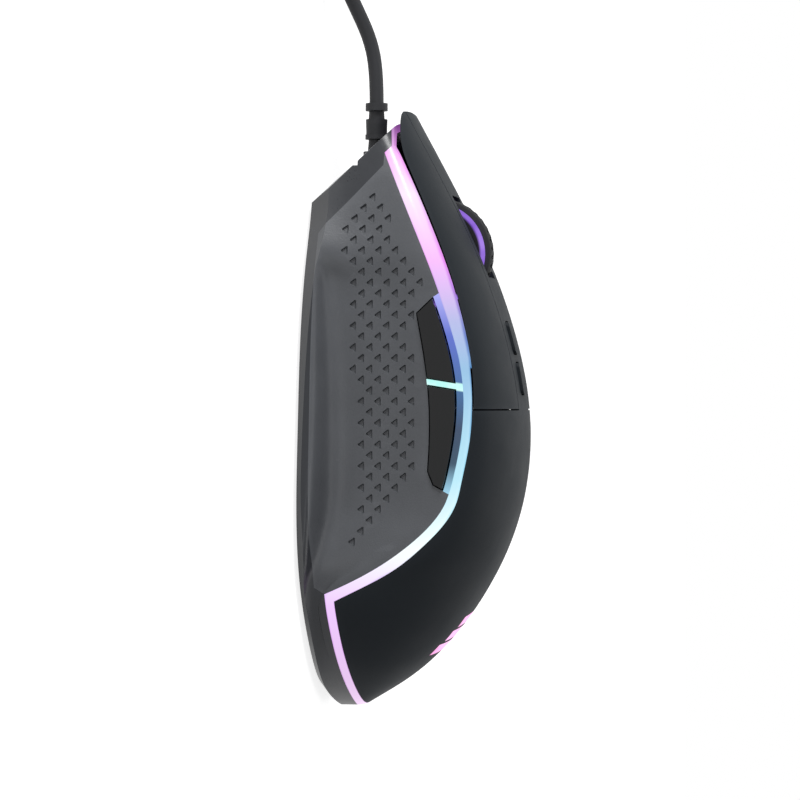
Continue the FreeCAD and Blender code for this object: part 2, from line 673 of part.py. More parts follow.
def thumb_pieces():
    """The light guide beside the strip and the two thumb buttons, each with a stem to its switch."""
    openings = thumb_openings()
    guide = far_side(pocket_region()).cut(prism(strip_region(), high=0))
    for face in openings:
        guide = guide.cut(prism(face, high=0))
    keep(computed("thumb_bezel", mirrored(guide)), "thumb_bezel")
    thick = PROUD.cut(INNER)
    core = computed("stem_limit", CORE)
    switch_face = SIDE_BOARD_X + size("board_thickness") + size("tact_height")
    reach = size("plunger_reach")
    for name, face, (y, z) in zip(("front", "rear"), openings, THUMB_SWITCH):
        outline = drawn_in(face, size("small_gap"))
        cap = computed(name + "_thumb_cap", mirrored(thick.common(prism(outline, high=0))))
        stem = box((switch_face - reach, y - STEM_HALF, z - STEM_HALF), FAR, 2 * STEM_HALF, 2 * STEM_HALF)
        keep(joined(cap, shared(stem, core)), name + "_thumb_button")


def dpi_buttons():
    """Two small caps in the spine, each with a stem to its switch."""
    thick = computed("dpi_thickness", PROUD.cut(INNER))
    core = computed("dpi_stem_limit", CORE)
    bottom = DPI_BOARD_Z + DPI_BOARD_THICKNESS + DPI_SWITCH_HEIGHT - 1.0
    for name, y in zip(("up", "down"), DPI_Y):
        corner = (-size("dpi_width") / 2, y - size("dpi_length") / 2, DPI_BOARD_Z)
        cap = rounded_block(corner, "Sizes.dpi_width", "Sizes.dpi_length", 30 * KZ, 1.0)
        stem = cylinder((0, y, bottom), (0, 0, 1), DPI_STEM_RADIUS, 30 * KZ)
        keep(joined(shared(cap, thick), shared(stem, core)), "dpi_" + name + "_button")


# ---------------------------------------------------------------- boards, switches and sensor


def tact_switch(label, corner, axis):
    """A square tact switch with a slot for the stem of its button, facing along axis (+X or +Z)."""
    side, height, gap, reach = (size(n) for n in ("tact_side", "tact_height", "plunger_gap", "plunger_reach"))
    slot = STEM_HALF + gap
    depth = reach + 1.0
    x, y, z = corner
    if axis == "x":
        body = box((x, y - side / 2, z - side / 2), "Sizes.tact_height", "Sizes.tact_side", "Sizes.tact_side")
        hole = box((x + height - depth, y - slot, z - slot), depth + 1, 2 * slot, 2 * slot)
    else:
        body = box((x - side / 2, y - side / 2, z), "Sizes.tact_side", "Sizes.tact_side", "Sizes.tact_height")
        hole = box((x - slot, y - slot, z + height - depth), 2 * slot, 2 * slot, depth + 1)
    keep(less(body, hole), label)


def boards():
    holes = [(x, y, size("screw_radius")) for x, y in BOARD_BOSSES] + [(0, SENSOR_Y, 3.0)]
    corner = (-BOARD_HALF, BOARD_FRONT, BOARD_BOTTOM)
    keep(board("main_board", corner, 2 * BOARD_HALF, BOARD_REAR - BOARD_FRONT, holes), "main_pcb")
    upright = box((SIDE_BOARD_X, SIDE_BOARD[0], BOARD_TOP), "Sizes.board_thickness",
                  SIDE_BOARD[1] - SIDE_BOARD[0], SIDE_BOARD_TOP - BOARD_TOP)
    keep(upright, "side_pcb")
    plate = box((-size("spine_half_width"), DPI_BOARD[0], DPI_BOARD_Z), "2 * Sizes.spine_half_width",
                DPI_BOARD[1] - DPI_BOARD[0], DPI_BOARD_THICKNESS)
    keep(plate, "dpi_pcb")


def switches():
    length, width, height = (size("switch_" + n) for n in ("length", "width", "height"))
    gap, reach = size("plunger_gap"), size("plunger_reach")
    for name, side in (("left", 1), ("right", -1)):
        x, y = side * MAIN_SWITCH[0], MAIN_SWITCH[1]
        body = box((x - length / 2, y - width / 2, BOARD_TOP), "Sizes.switch_length", "Sizes.switch_width",
                   "Sizes.switch_height")
        depth = reach + 1.0
        slot = box((x - size("plunger_length") / 2 - gap, y - size("plunger_width") / 2 - gap,
                    SWITCH_TOP - depth), "Sizes.plunger_length + 2 * Sizes.plunger_gap",
                   "Sizes.plunger_width + 2 * Sizes.plunger_gap", depth + 1)
        keep(less(body, slot), name + "_main_switch")
    for name, (y, z) in zip(("front", "rear"), THUMB_SWITCH):
        tact_switch(name + "_thumb_switch", (SIDE_BOARD_X + size("board_thickness"), y, z), "x")
    tact_switch("wheel_switch", (WHEEL_SWITCH_X, WHEEL_Y, BOARD_TOP), "z")
    top = DPI_BOARD_Z + DPI_BOARD_THICKNESS
    for name, y in zip(("up", "down"), DPI_Y):
        side = DPI_SWITCH_SIDE
        body = box((-side / 2, y - side / 2, top), side, side, DPI_SWITCH_HEIGHT)
        hole = cylinder((0, y, top + 0.4), (0, 0, 1), DPI_STEM_RADIUS + 0.2, DPI_SWITCH_HEIGHT)
        keep(less(body, hole), "dpi_" + name + "_switch")


LENS_HEIGHT = 1.8
CHIP_LENGTH = 16.0
CHIP_WIDTH = 9.1
CHIP_HEIGHT = 2.8


def sensor():
    """The optical sensor on the board, its lens over the hole in the floor, and the controller."""
    plate = box((-9.5, SENSOR_Y - 6, FLOOR_TOP), 19, 12, LENS_HEIGHT)
    lobe = cylinder((0, SENSOR_Y, RIDE + 0.4), (0, 0, 1), 2.6, WALL)
    barrel = cylinder((0, SENSOR_Y, FLOOR_TOP), (0, 0, 1), 2.4, BOARD_BOTTOM - FLOOR_TOP)
    keep(joined(plate, lobe, barrel), "sensor_lens")
    keep(box((-CHIP_LENGTH / 2, SENSOR_Y - CHIP_WIDTH / 2, BOARD_TOP), CHIP_LENGTH, CHIP_WIDTH, CHIP_HEIGHT),
         "sensor_chip")
    keep(box((-12 * KX - 4, -4 * KY, BOARD_TOP), 7, 7, 1.0), "controller_chip")


def strip_lamps():
    """Small side-firing lamps along the main board's edges, which light the strip."""
    lamps = []
    for y in (-33 * KY, -9 * KY, 13 * KY):
        for side in (-1, 1):
            x = side * (BOARD_HALF - 1.6)
            lamps.append(box((x - 1.4, y - 1.75, BOARD_TOP), 2.8, 3.5, 1.9))
    keep(joined(*lamps), "strip_lamps")


# ---------------------------------------------------------------- scroll wheel

ARM_GAP = 1.2
ARM_INNER = size("wheel_width") / 2 + ARM_GAP
ARM_OUTER = ARM_INNER + size("carrier_arm")
PIVOT_Y = -12.5 * KY
PIVOT_Z = 17.0 * KZ
BRACKET_GAP = 0.8
BRACKET_WALL = 2.0
WHEEL_SWITCH_X = -(ARM_OUTER + size("tact_side") / 2 + 1.0)


def wheel():
    """Hub, tyre, two light rings and axle, which spin together."""
    half, tyre_half = size("wheel_width") / 2, size("tyre_width") / 2
    rim = size("wheel_radius") - size("tyre_thickness")
    centre = (WHEEL_Y, WHEEL_Z)
    hub = cylinder((-tyre_half, *centre), (1, 0, 0), "Sizes.wheel_radius - Sizes.tyre_thickness",
                   "Sizes.tyre_width")
    bore = cylinder((-half, *centre), (1, 0, 0), "Sizes.axle_radius", "Sizes.wheel_width")
    keep(less(hub, bore), "wheel_hub")
    tread = cylinder((-tyre_half, *centre), (1, 0, 0), "Sizes.wheel_radius", "Sizes.tyre_width")
    seat = cylinder((-half, *centre), (1, 0, 0), "Sizes.wheel_radius - Sizes.tyre_thickness",
                    "Sizes.wheel_width")
    keep(less(tread, seat), "wheel_tyre")
    for name, start in (("left", tyre_half), ("right", -half)):
        disc = cylinder((start, *centre), (1, 0, 0), rim + 0.6, half - tyre_half)
        hole = cylinder((start - 1, *centre), (1, 0, 0), "Sizes.axle_radius", half - tyre_half + 2)
        keep(less(disc, hole), "wheel_ring_" + name)
    reach = ARM_OUTER + 0.6
    keep(cylinder((-reach, *centre), (1, 0, 0), "Sizes.axle_radius", 2 * reach), "wheel_axle")


CARRIER_LOW = WHEEL_Z - 4.5
CARRIER_HIGH = WHEEL_Z + 3.5
FOOT_THICKNESS = 1.6


def wheel_carrier():
    """Two arms beside the wheel that pivot on a pin behind it, with a foot over the wheel's switch."""
    arms = []
    front = WHEEL_Y - 5.0
    for x in (-ARM_OUTER, ARM_INNER):
        arms.append(box((x, front, CARRIER_LOW), "Sizes.carrier_arm", WHEEL_Y - front + 6.0,
                        CARRIER_HIGH - CARRIER_LOW))
        low = min(PIVOT_Z - 2.6, CARRIER_LOW)
        arms.append(box((x, WHEEL_Y + 1.0, low), "Sizes.carrier_arm", PIVOT_Y + 2.6 - WHEEL_Y - 1.0,
                        PIVOT_Z + 2.6 - low))
    bridge_y = WHEEL_Y + size("wheel_radius") + size("wheel_room") + 0.6
    arms.append(box((-ARM_OUTER, bridge_y, PIVOT_Z - 2.0), 2 * ARM_OUTER, 2.0, 4.0))
    foot_x = WHEEL_SWITCH_X - 2.0
    foot_z = CARRIER_LOW
    arms.append(box((foot_x, WHEEL_Y - 2.0, foot_z), -ARM_INNER - foot_x - 0.4, 4.0, FOOT_THICKNESS))
    axle_bore = cylinder((-FAR, WHEEL_Y, WHEEL_Z), (1, 0, 0), "Sizes.axle_radius + Sizes.running_clearance",
                         2 * FAR)
    pin_bore = cylinder((-FAR, PIVOT_Y, PIVOT_Z), (1, 0, 0),
                        "Sizes.pivot_radius + Sizes.running_clearance", 2 * FAR)
    keep(less(joined(*arms), axle_bore, pin_bore), "wheel_carrier")
    bottom = BOARD_TOP + size("tact_height") - size("plunger_reach")
    keep(cylinder((WHEEL_SWITCH_X, WHEEL_Y, bottom), (0, 0, 1), STEM_HALF, foot_z - bottom), "wheel_plunger")


def wheel_bracket():
    """The stand on the board that holds the carrier's pivot pin, and the wheel's encoder."""
    near = ARM_OUTER + BRACKET_GAP
    far = near + BRACKET_WALL
    pieces = [box((-far, PIVOT_Y - 2.4, BOARD_TOP), 2 * far, 4.8, 1.6)]
    for x in (-far, near):
        pieces.append(box((x, PIVOT_Y - 2.4, BOARD_TOP), BRACKET_WALL, 4.8, PIVOT_Z + 2.4 - BOARD_TOP))
    hole = cylinder((-FAR, PIVOT_Y, PIVOT_Z), (1, 0, 0), "Sizes.pivot_radius", 2 * FAR)
    keep(less(joined(*pieces), hole), "wheel_bracket")
    keep(cylinder((-far, PIVOT_Y, PIVOT_Z), (1, 0, 0), "Sizes.pivot_radius", 2 * far), "wheel_pivot_pin")
    start = ARM_OUTER + 1.6
    keep(box((start, WHEEL_Y - 2.8, BOARD_TOP), 2.6, 5.6, WHEEL_Z + 2.5 - BOARD_TOP), "wheel_encoder")


# ---------------------------------------------------------------- glides, screws and the lead


def glides():
    """Low-friction feet under the floor."""
    for name, half, y, width in (("front_glide", 17.0, -39.0, 8.0), ("rear_glide", 15.0, 44.0, 7.0)):
        keep(rounded_block((-half * KX, y * KY, 0), 2 * half * KX, width, "Sizes.glide_thickness", 3.0), name)


def screws():
    """Case screws from below into the palm cover's posts, and board screws from above into the bosses."""
    for number, (x, y) in enumerate(SCREW_POSTS, start=1):
        head = cylinder((x, y, RIDE), (0, 0, 1), "Sizes.screw_head_radius", "Sizes.screw_head_height")
        shank = cylinder((x, y, RIDE), (0, 0, 1), "Sizes.screw_radius",
                         "Sizes.screw_length + Sizes.screw_head_height")
        keep(joined(head, shank), f"case_screw_{number}")
    pieces = []
    for x, y in BOARD_BOSSES:
        head = cylinder((x, y, BOARD_TOP), (0, 0, 1), "Sizes.screw_head_radius", "Sizes.screw_head_height")
        shank = cylinder((x, y, FLOOR_TOP + 1.0), (0, 0, 1), "Sizes.screw_radius",
                         BOARD_TOP - FLOOR_TOP - 0.6)
        pieces.append(joined(head, shank))
    keep(joined(*pieces), "board_screws")


RELIEF_STEPS = [
    # start and end behind the front face, and the radius at each
    (18.1, 10.2, 0.0, 0.0),
    (10.2, 6.9, -0.9, -1.2),
    (7.6, 6.6, -0.4, -0.4),
    (6.6, 3.4, -0.6, -0.5),
    (3.4, 1.6, -1.1, -1.2),
    (1.6, 0.0, -0.45, -0.45),
]
HEADER_LENGTH = 3.6
HEADER_HEIGHT = 4.4
HEADER_HALF = 4.2


def lead_inside():
    """The moulded strain relief in the nose wall, the lead behind it and the header it plugs into."""
    radius = size("relief_radius")
    parts = []
    for start, end, change_start, change_end in RELIEF_STEPS:
        parts.append(cone((0, RELIEF_FRONT + start, RELIEF_Z), (0, -1, 0), radius + change_start,
                          radius + change_end - 0.001, start - end))
    keep(joined(*parts), "strain_relief")
    header_front = BOARD_FRONT
    rear = RELIEF_FRONT + RELIEF_STEPS[0][0]
    keep(cylinder((0, rear, RELIEF_Z), (0, 1, 0), 1.3, header_front - rear), "inner_lead")
    keep(box((-HEADER_HALF, header_front, BOARD_TOP), 2 * HEADER_HALF, HEADER_LENGTH, HEADER_HEIGHT),
         "lead_header")


# ---------------------------------------------------------------- the free lead

LEAD = size("lead_radius")
TURNS = size("coil_turns")
COIL_IN = size("coil_mean_radius") - TURNS * LEAD
COIL_OUT = size("coil_mean_radius") + TURNS * LEAD
COIL_Z = size("tie_thickness")
COIL_CENTRE = Vector(8.0, RELIEF_FRONT - 68.5, COIL_Z)
OUTER_TURN = COIL_OUT - LEAD
STUB = 12.0
LAY_Z = COIL_Z + LEAD
TOP_Z = COIL_Z + (2 * TURNS - 1) * LEAD
PLUG_X = COIL_CENTRE.x - COIL_OUT - 1.0 - size("plug_width") / 2
PLUG_Z = size("plug_height") / 2
PLUG_Y = COIL_CENTRE.y + 5.0
BOOT = 6.0


def lead_route():
    """From the strain relief's front face down to the table and along it to the coil."""
    front = Vector(0, RELIEF_FRONT, RELIEF_Z)
    end = Vector(COIL_CENTRE.x + OUTER_TURN, COIL_CENTRE.y + STUB, LAY_Z)
    steps = [(0, -6.5, 0), (0.5, -13.5, -1.2), (2.6, -21.0, -4.4), (7.0, -28.5, -7.4),
             (14.0, -34.5, -8.5), (21.5, -39.5, -8.7), (27.8, -45.0, -8.6)]
    return [front] + [front + Vector(*step) for step in steps] + [end + Vector(0, 6.0, 0), end]


def tail_route():
    """From the coil's top turn round to the plug beside it."""
    start = Vector(COIL_CENTRE.x - STUB, COIL_CENTRE.y - OUTER_TURN, TOP_Z)
    end = Vector(PLUG_X, PLUG_Y - BOOT, PLUG_Z)
    steps = [(-5.0, 0, 0), (-12.0, 1.6, -1.2), (-17.0, 5.4, -3.0), (-20.0, 10.5, -5.4)]
    return [start] + [start + Vector(*step) for step in steps] + [end + Vector(0, -5.5, 0), end]


def tube(label, points, radius):
    """A round tube along straight runs joined by tangent arcs, each as large as its runs allow."""
    edges = []
    start = points[0]
    for before, at, after in zip(points, points[1:], points[2:]):
        back, on = (before - at), (after - at)
        half_turn = (math.pi - back.getAngle(on)) / 2
        reach = 0.45 * min(back.Length, on.Length)
        bend_radius = reach / math.tan(half_turn)
        print(f"{label}: bend radius {bend_radius:.1f} mm")
        back.normalize()
        on.normalize()
        first, last = at + back * reach, at + on * reach
        middle_way = (back + on).normalize()
        depth = bend_radius / math.cos(half_turn) - bend_radius
        edges.append(Part.LineSegment(start, first).toShape())
        edges.append(Part.Arc(first, at + middle_way * depth, last).toShape())
        start = last
    edges.append(Part.LineSegment(start, points[-1]).toShape())
    path = Part.Wire(edges)
    direction = (points[1] - points[0]).normalize()
    ring = Part.Wire([Part.Circle(points[0], direction, radius).toShape()])
    swept = path.makePipeShell([ring], True, False, 2)
    expected = math.pi * radius ** 2 * path.Length
    print(f"{label}: length {path.Length:.1f} mm, volume {swept.Volume:.1f}, expected {expected:.1f}")
    if abs(swept.Volume - expected) > 0.01 * expected:
        raise RuntimeError(f"{label} doesn't have the volume of its path")
    return swept


def free_lead():
    keep(computed("lead_tube", tube("lead_tube", lead_route(), LEAD)), "lead_tube")
    keep(computed("lead_tail", tube("lead_tail", tail_route(), LEAD)), "lead_tail")
    base = tuple(COIL_CENTRE)
    outside = cylinder(base, (0, 0, 1), "Sizes.coil_mean_radius + Sizes.coil_turns * Sizes.lead_radius",
                       "2 * Sizes.coil_turns * Sizes.lead_radius")
    hole = cylinder((base[0], base[1], base[2] - 1), (0, 0, 1),
                    "Sizes.coil_mean_radius - Sizes.coil_turns * Sizes.lead_radius",
                    "2 * Sizes.coil_turns * Sizes.lead_radius + 2")
    inlet = cylinder((COIL_CENTRE.x + OUTER_TURN, COIL_CENTRE.y, LAY_Z), (0, 1, 0), "Sizes.lead_radius", STUB)
    outlet = cylinder((COIL_CENTRE.x, COIL_CENTRE.y - OUTER_TURN, TOP_Z), (-1, 0, 0), "Sizes.lead_radius", STUB)
    keep(joined(less(outside, hole), inlet, outlet), "lead_coil")
    thick, width = size("tie_thickness"), size("tie_width")
    near, far, high = COIL_IN - thick, COIL_OUT + thick, 2 * TURNS * LEAD + 2 * thick
    strap = box((COIL_CENTRE.x - width / 2, COIL_CENTRE.y + near, 0), "Sizes.tie_width", far - near, high)
    keep(less(strap, joined(less(outside, hole), inlet, outlet)), "coil_tie")


def plug():
    """A USB-A plug: moulded grip with a short boot, metal shell and the insulator inside it."""
    width, height, length = size("plug_width"), size("plug_height"), size("plug_length")
    grip = rounded_block((PLUG_X - width / 2, PLUG_Y, 0), "Sizes.plug_width", "Sizes.plug_length",
                         "Sizes.plug_height", 1.6, axis=1)
    boot = cone((PLUG_X, PLUG_Y - BOOT, PLUG_Z), (0, 1, 0), LEAD + 0.5, LEAD + 1.2, BOOT + 0.5)
    keep(joined(grip, boot), "usb_plug_grip")
    front = PLUG_Y + length
    shell_width, shell_height, wall = (size("plug_shell_" + n) for n in ("width", "height", "wall"))
    outside = box((PLUG_X - shell_width / 2, front, PLUG_Z - shell_height / 2), "Sizes.plug_shell_width",
                  "Sizes.plug_shell_length", "Sizes.plug_shell_height")
    inside = box((PLUG_X - shell_width / 2 + wall, front, PLUG_Z - shell_height / 2 + wall),
                 "Sizes.plug_shell_width - 2 * Sizes.plug_shell_wall", "Sizes.plug_shell_length + 1",
                 "Sizes.plug_shell_height - 2 * Sizes.plug_shell_wall")
    keep(less(outside, inside), "usb_plug_shell")
    keep(box((PLUG_X - shell_width / 2 + wall, front, PLUG_Z - shell_height / 2 + wall),
             "Sizes.plug_shell_width - 2 * Sizes.plug_shell_wall", "Sizes.plug_shell_length - 0.6", 1.8),
         "usb_plug_insulator")


# ---------------------------------------------------------------- build, check and write

base_shell()
side_panels()
light_strip()
UPPER_SHELL = palm_cover()
centre_spine(UPPER_SHELL)
main_buttons()
thumb_pieces()
dpi_buttons()
boards()
switches()
sensor()
strip_lamps()
wheel()
wheel_carrier()
wheel_bracket()
glides()
screws()
lead_inside()
free_lead()
plug()
DOCUMENT.recompute()

for feature in DOCUMENT.Objects:
    if "Invalid" in feature.State or "Error" in feature.State:
        raise RuntimeError(f"{feature.Label} failed: {feature.State}")
faulty = []
for label, feature in KEPT.items():
    shape = feature.Shape
    if shape.isNull() or not shape.isValid() or not shape.Solids:
        faulty.append(label)
if faulty:
    raise RuntimeError(f"no valid solid in {', '.join(faulty)}")

os.makedirs("parts", exist_ok=True)
for label, feature in KEPT.items():
    feature.Shape.exportStep(f"parts/{label}.step")
    print(label, len(feature.Shape.Solids), round(feature.Shape.Volume, 1))
print(len(KEPT), "sub-parts")
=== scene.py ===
import math

import bmesh
import bpy
from mathutils import Matrix, Vector
from mathutils.bvhtree import BVHTree

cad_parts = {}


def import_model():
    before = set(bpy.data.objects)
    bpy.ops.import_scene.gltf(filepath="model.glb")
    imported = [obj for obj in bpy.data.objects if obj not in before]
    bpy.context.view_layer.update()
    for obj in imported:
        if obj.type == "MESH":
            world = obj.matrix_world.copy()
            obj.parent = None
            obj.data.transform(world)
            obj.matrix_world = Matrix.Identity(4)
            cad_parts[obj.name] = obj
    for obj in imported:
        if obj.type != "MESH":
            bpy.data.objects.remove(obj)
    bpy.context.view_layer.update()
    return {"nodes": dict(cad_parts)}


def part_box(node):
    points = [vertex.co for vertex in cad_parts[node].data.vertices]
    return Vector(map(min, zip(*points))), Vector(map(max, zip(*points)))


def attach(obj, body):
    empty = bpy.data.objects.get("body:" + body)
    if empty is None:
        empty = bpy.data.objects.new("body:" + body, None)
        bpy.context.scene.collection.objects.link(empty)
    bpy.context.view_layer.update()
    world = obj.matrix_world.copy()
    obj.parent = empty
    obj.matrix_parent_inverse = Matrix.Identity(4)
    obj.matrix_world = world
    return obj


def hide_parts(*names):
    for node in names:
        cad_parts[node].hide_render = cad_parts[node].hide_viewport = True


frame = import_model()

MM = 0.001
NODES = frame["nodes"]
SCENE = bpy.context.scene


# ---------------------------------------------------------------- camera

ELEVATION = math.radians(10)
DISTANCE = 0.7
AIM = Vector((0, -2.0, 15.7)) * MM
SENSOR_WIDTH = 36
FOCAL_LENGTH = 149.4


def camera():
    """The mouse seen from its thumb side, a little above the table, with the nose up in the picture."""
    back = Vector((math.cos(ELEVATION), 0, math.sin(ELEVATION)))
    up = Vector((0, -1, 0))
    right = up.cross(back)
    data = bpy.data.cameras.new("camera")
    data.sensor_width = SENSOR_WIDTH
    data.lens = FOCAL_LENGTH
    eye = bpy.data.objects.new("camera", data)
    turn = Matrix((right, up, back)).transposed()
    eye.matrix_world = Matrix.Translation(AIM + back * DISTANCE) @ turn.to_4x4()
    SCENE.collection.objects.link(eye)
    SCENE.camera = eye


# ---------------------------------------------------------------- node helpers

def linear(colour):
    """A colour of 0 to 255 a channel as it shows on a screen, turned into the renderer's linear values."""
    parts = [c / 255 for c in colour]
    return [c / 12.92 if c <= 0.04045 else ((c + 0.055) / 1.055) ** 2.4 for c in parts] + [1.0]


class Graph:
    """A material with its nodes; each method adds one node and returns its output."""

    def __init__(self, name):
        self.material = bpy.data.materials.new(name)
        self.material.use_nodes = True
        self.tree = self.material.node_tree
        self.shader = self.tree.nodes["Principled BSDF"]

    def node(self, kind, **settings):
        made = self.tree.nodes.new(kind)
        for key, value in settings.items():
            setattr(made, key, value)
        return made

    def feed(self, socket, value):
        if isinstance(value, bpy.types.NodeSocket):
            self.tree.links.new(value, socket)
        else:
            socket.default_value = value

    def position(self):
        return self.node("ShaderNodeTexCoord").outputs["Object"]

    def axis(self, name):
        split = self.node("ShaderNodeSeparateXYZ")
        self.feed(split.inputs[0], self.position())
        return split.outputs[name]

    def math(self, operation, first, second=0.0, clamp=False):
        made = self.node("ShaderNodeMath", operation=operation, use_clamp=clamp)
        self.feed(made.inputs[0], first)
        self.feed(made.inputs[1], second)
        return made.outputs[0]

    def spread(self, value, low, high, out_low=0.0, out_high=1.0, smooth=False):
        made = self.node("ShaderNodeMapRange", interpolation_type="SMOOTHSTEP" if smooth else "LINEAR")
        for key, number in zip(("Value", "From Min", "From Max", "To Min", "To Max"),
                               (value, low, high, out_low, out_high)):
            self.feed(made.inputs[key], number)
        return made.outputs[0]

    def noise(self, size, detail=2.0, stretch=(1, 1, 1)):
        """Noise whose features are about size metres across."""
        shrink = self.node("ShaderNodeMapping")
        shrink.inputs["Scale"].default_value = stretch
        self.feed(shrink.inputs["Vector"], self.position())
        made = self.node("ShaderNodeTexNoise")
        made.inputs["Scale"].default_value = 1 / size
        made.inputs["Detail"].default_value = detail
        self.feed(made.inputs["Vector"], shrink.outputs[0])
        return made.outputs["Fac"]

    def mix(self, factor, first, second):
        made = self.node("ShaderNodeMix", data_type="RGBA")
        self.feed(made.inputs[0], factor)
        self.feed(made.inputs[6], first)
        self.feed(made.inputs[7], second)
        return made.outputs[2]

    def ramp(self, value, stops):
        made = self.node("ShaderNodeValToRGB")
        elements = made.color_ramp.elements
        elements[0].position, elements[0].color = stops[0]
        elements[1].position, elements[1].color = stops[-1]
        for place, colour in stops[1:-1]:
            elements.new(place).color = colour
        self.feed(made.inputs[0], value)
        return made.outputs[0]

    def outward(self):
        """1 on faces that look away from the middle of the mouse, 0 on those that look inward."""
        normal = self.node("ShaderNodeSeparateXYZ")
        self.feed(normal.inputs[0], self.node("ShaderNodeNewGeometry").outputs["True Normal"])
        side = self.math("MULTIPLY", self.math("SIGN", self.axis("X")), normal.outputs["X"])
        ends = self.math("MULTIPLY", self.math("SIGN", self.axis("Y")), normal.outputs["Y"])
        return self.math("GREATER_THAN", self.math("MAXIMUM", side, ends), 0.12)

    def bump(self, height, depth):
        made = self.node("ShaderNodeBump")
        made.inputs["Strength"].default_value = 1.0
        made.inputs["Distance"].default_value = depth
        self.feed(made.inputs["Height"], height)
        self.feed(self.shader.inputs["Normal"], made.outputs[0])

    def set(self, **values):
        for key, value in values.items():
            self.feed(self.shader.inputs[key.replace("_", " ")], value)


def plastic(name, colour, roughness, grain=0.3 * MM, depth=0.02 * MM, mottle=0.12, wear=0.25, specular=0.3,
            coat=0.0, stretch=(1, 1, 1)):
    """Moulded plastic: fine grain, slow changes of colour and roughness, and paler worn edges."""
    g = Graph(name)
    base = linear(colour)
    slow = g.noise(11 * MM, 3.0)
    fine = g.noise(grain, 2.0, stretch)
    darker = [c * (1 - mottle) for c in base[:3]] + [1]
    paler = [min(1, c * (1 + mottle)) for c in base[:3]] + [1]
    tone = g.mix(g.spread(slow, 0.3, 0.7), darker, paler)
    tone = g.mix(g.math("MULTIPLY", g.spread(fine, 0.35, 0.65), 0.35), tone, paler)
    pointed = g.spread(g.node("ShaderNodeNewGeometry").outputs["Pointiness"], 0.52, 0.58, 0.0, wear)
    worn = [min(1, 2.2 * c + 0.01) for c in base[:3]] + [1]
    tone = g.mix(pointed, tone, worn)
    g.set(Base_Color=tone)
    g.set(Roughness=g.math("ADD", g.spread(slow, 0.3, 0.7, roughness * 0.93, roughness * 1.07),
                           g.spread(fine, 0.3, 0.7, -0.02, 0.02)))
    g.shader.inputs["Specular IOR Level"].default_value = specular
    g.shader.inputs["Coat Weight"].default_value = coat
    g.shader.inputs["Coat Roughness"].default_value = 0.08
    g.bump(fine, depth)
    return g.material


# ---------------------------------------------------------------- lit plastics

# Colours along the light strip, from nose to tail, with the place in millimetres.
STRIP_COLOURS = [
    (-60, (120, 40, 140)), (-52, (250, 185, 250)), (-44, (250, 230, 255)), (-30, (245, 185, 250)),
    (-18, (180, 185, 230)), (-8, (145, 190, 225)), (14, (180, 230, 245)), (28, (245, 255, 255)),
    (40, (235, 195, 250)), (62, (215, 180, 220)),
]
# The strip's lower and upper edges on the side of the mouse, as places in Y and Z, in millimetres.
LOW_EDGE = [(-60, 16.9), (-54.1, 17.6), (-52.6, 16.3), (-44.2, 19.9), (-35.7, 23.6), (-27.3, 27.1),
            (-18.9, 30.1), (-10.4, 32.6), (-2, 33.6), (6.4, 33), (14.9, 31.2), (19.1, 29.8), (23.3, 26.9),
            (27.5, 22.4), (31.7, 16.5), (35.9, 8.6), (37.4, 5.2), (48.6, 6), (62, 7.3)]
HIGH_EDGE = [(-60, 17.35), (-54.1, 18.1), (-52.6, 18.9), (-44.2, 23), (-35.7, 26.8), (-27.3, 30.1),
             (-18.9, 32.7), (-10.4, 34.6), (-2, 35.3), (6.4, 34.8), (14.9, 33.1), (19.1, 32), (23.3, 29.5),
             (27.5, 25.5), (31.7, 20.5), (35.9, 13.2), (38.9, 7.1), (48.6, 7.8), (62, 9.1)]
NOSE_END = -60.0
TAIL_END = 64.0
TOP_END = 40.0


def along(g):
    """Place along the mouse, 0 at the nose end and 1 at the tail end."""
    return g.spread(g.axis("Y"), NOSE_END * MM, TAIL_END * MM)


def share(y):
    """The same 0 to 1 for a place given in millimetres."""
    return (y - NOSE_END) / (TAIL_END - NOSE_END)


def edge_curve(g, points):
    """Height of one of the strip's edges as it runs along the mouse, 0 at the table and 1 at TOP_END."""
    made = g.node("ShaderNodeFloatCurve")
    line = made.mapping.curves[0]
    places = [(share(y), z / TOP_END) for y, z in points]
    line.points[0].location = places[0]
    line.points[1].location = (1.0, places[-1][1])
    for place in places[1:]:
        line.points.new(*place)
    for point in line.points:
        point.handle_type = "VECTOR"
    made.mapping.update()
    g.feed(made.inputs["Value"], along(g))
    return made.outputs[0]


def switch_on(g, ripple):
    """Lights a material up, and gives its plastic a faint ripple."""
    g.shader.inputs["Emission Strength"].default_value = 1.0
    g.bump(g.noise(0.6 * MM), ripple)
    return g.material


def lit_strip():
    """Light guide: a pale core that changes colour along the mouse, and deeper coloured edges."""
    g = Graph("strip_light")
    core = g.ramp(along(g), [(share(y), linear(colour)) for y, colour in STRIP_COLOURS])
    low, high = edge_curve(g, LOW_EDGE), edge_curve(g, HIGH_EDGE)
    height = g.spread(g.axis("Z"), 0.0, TOP_END * MM)
    across = g.math("DIVIDE", g.math("SUBTRACT", height, low), g.math("SUBTRACT", high, low))
    from_middle = g.math("ABSOLUTE", g.math("SUBTRACT", g.math("MULTIPLY", across, 2.0), 1.0))
    deep = g.node("ShaderNodeGamma")
    g.feed(deep.inputs["Color"], core)
    deep.inputs["Gamma"].default_value = 2.2
    cloud = g.spread(g.noise(3.5 * MM, 2.0, (1, 0.35, 1)), 0.3, 0.7, -0.08, 0.08)
    rim = g.spread(g.math("ADD", from_middle, cloud), 0.7, 1.25, 0.0, 1.0, smooth=True)
    glow = g.mix(g.outward(), (0, 0, 0, 1), g.mix(rim, core, deep.outputs[0]))
    g.set(Base_Color=(0.02, 0.02, 0.025, 1), Emission_Color=glow, Roughness=0.22)
    return switch_on(g, 0.004 * MM)


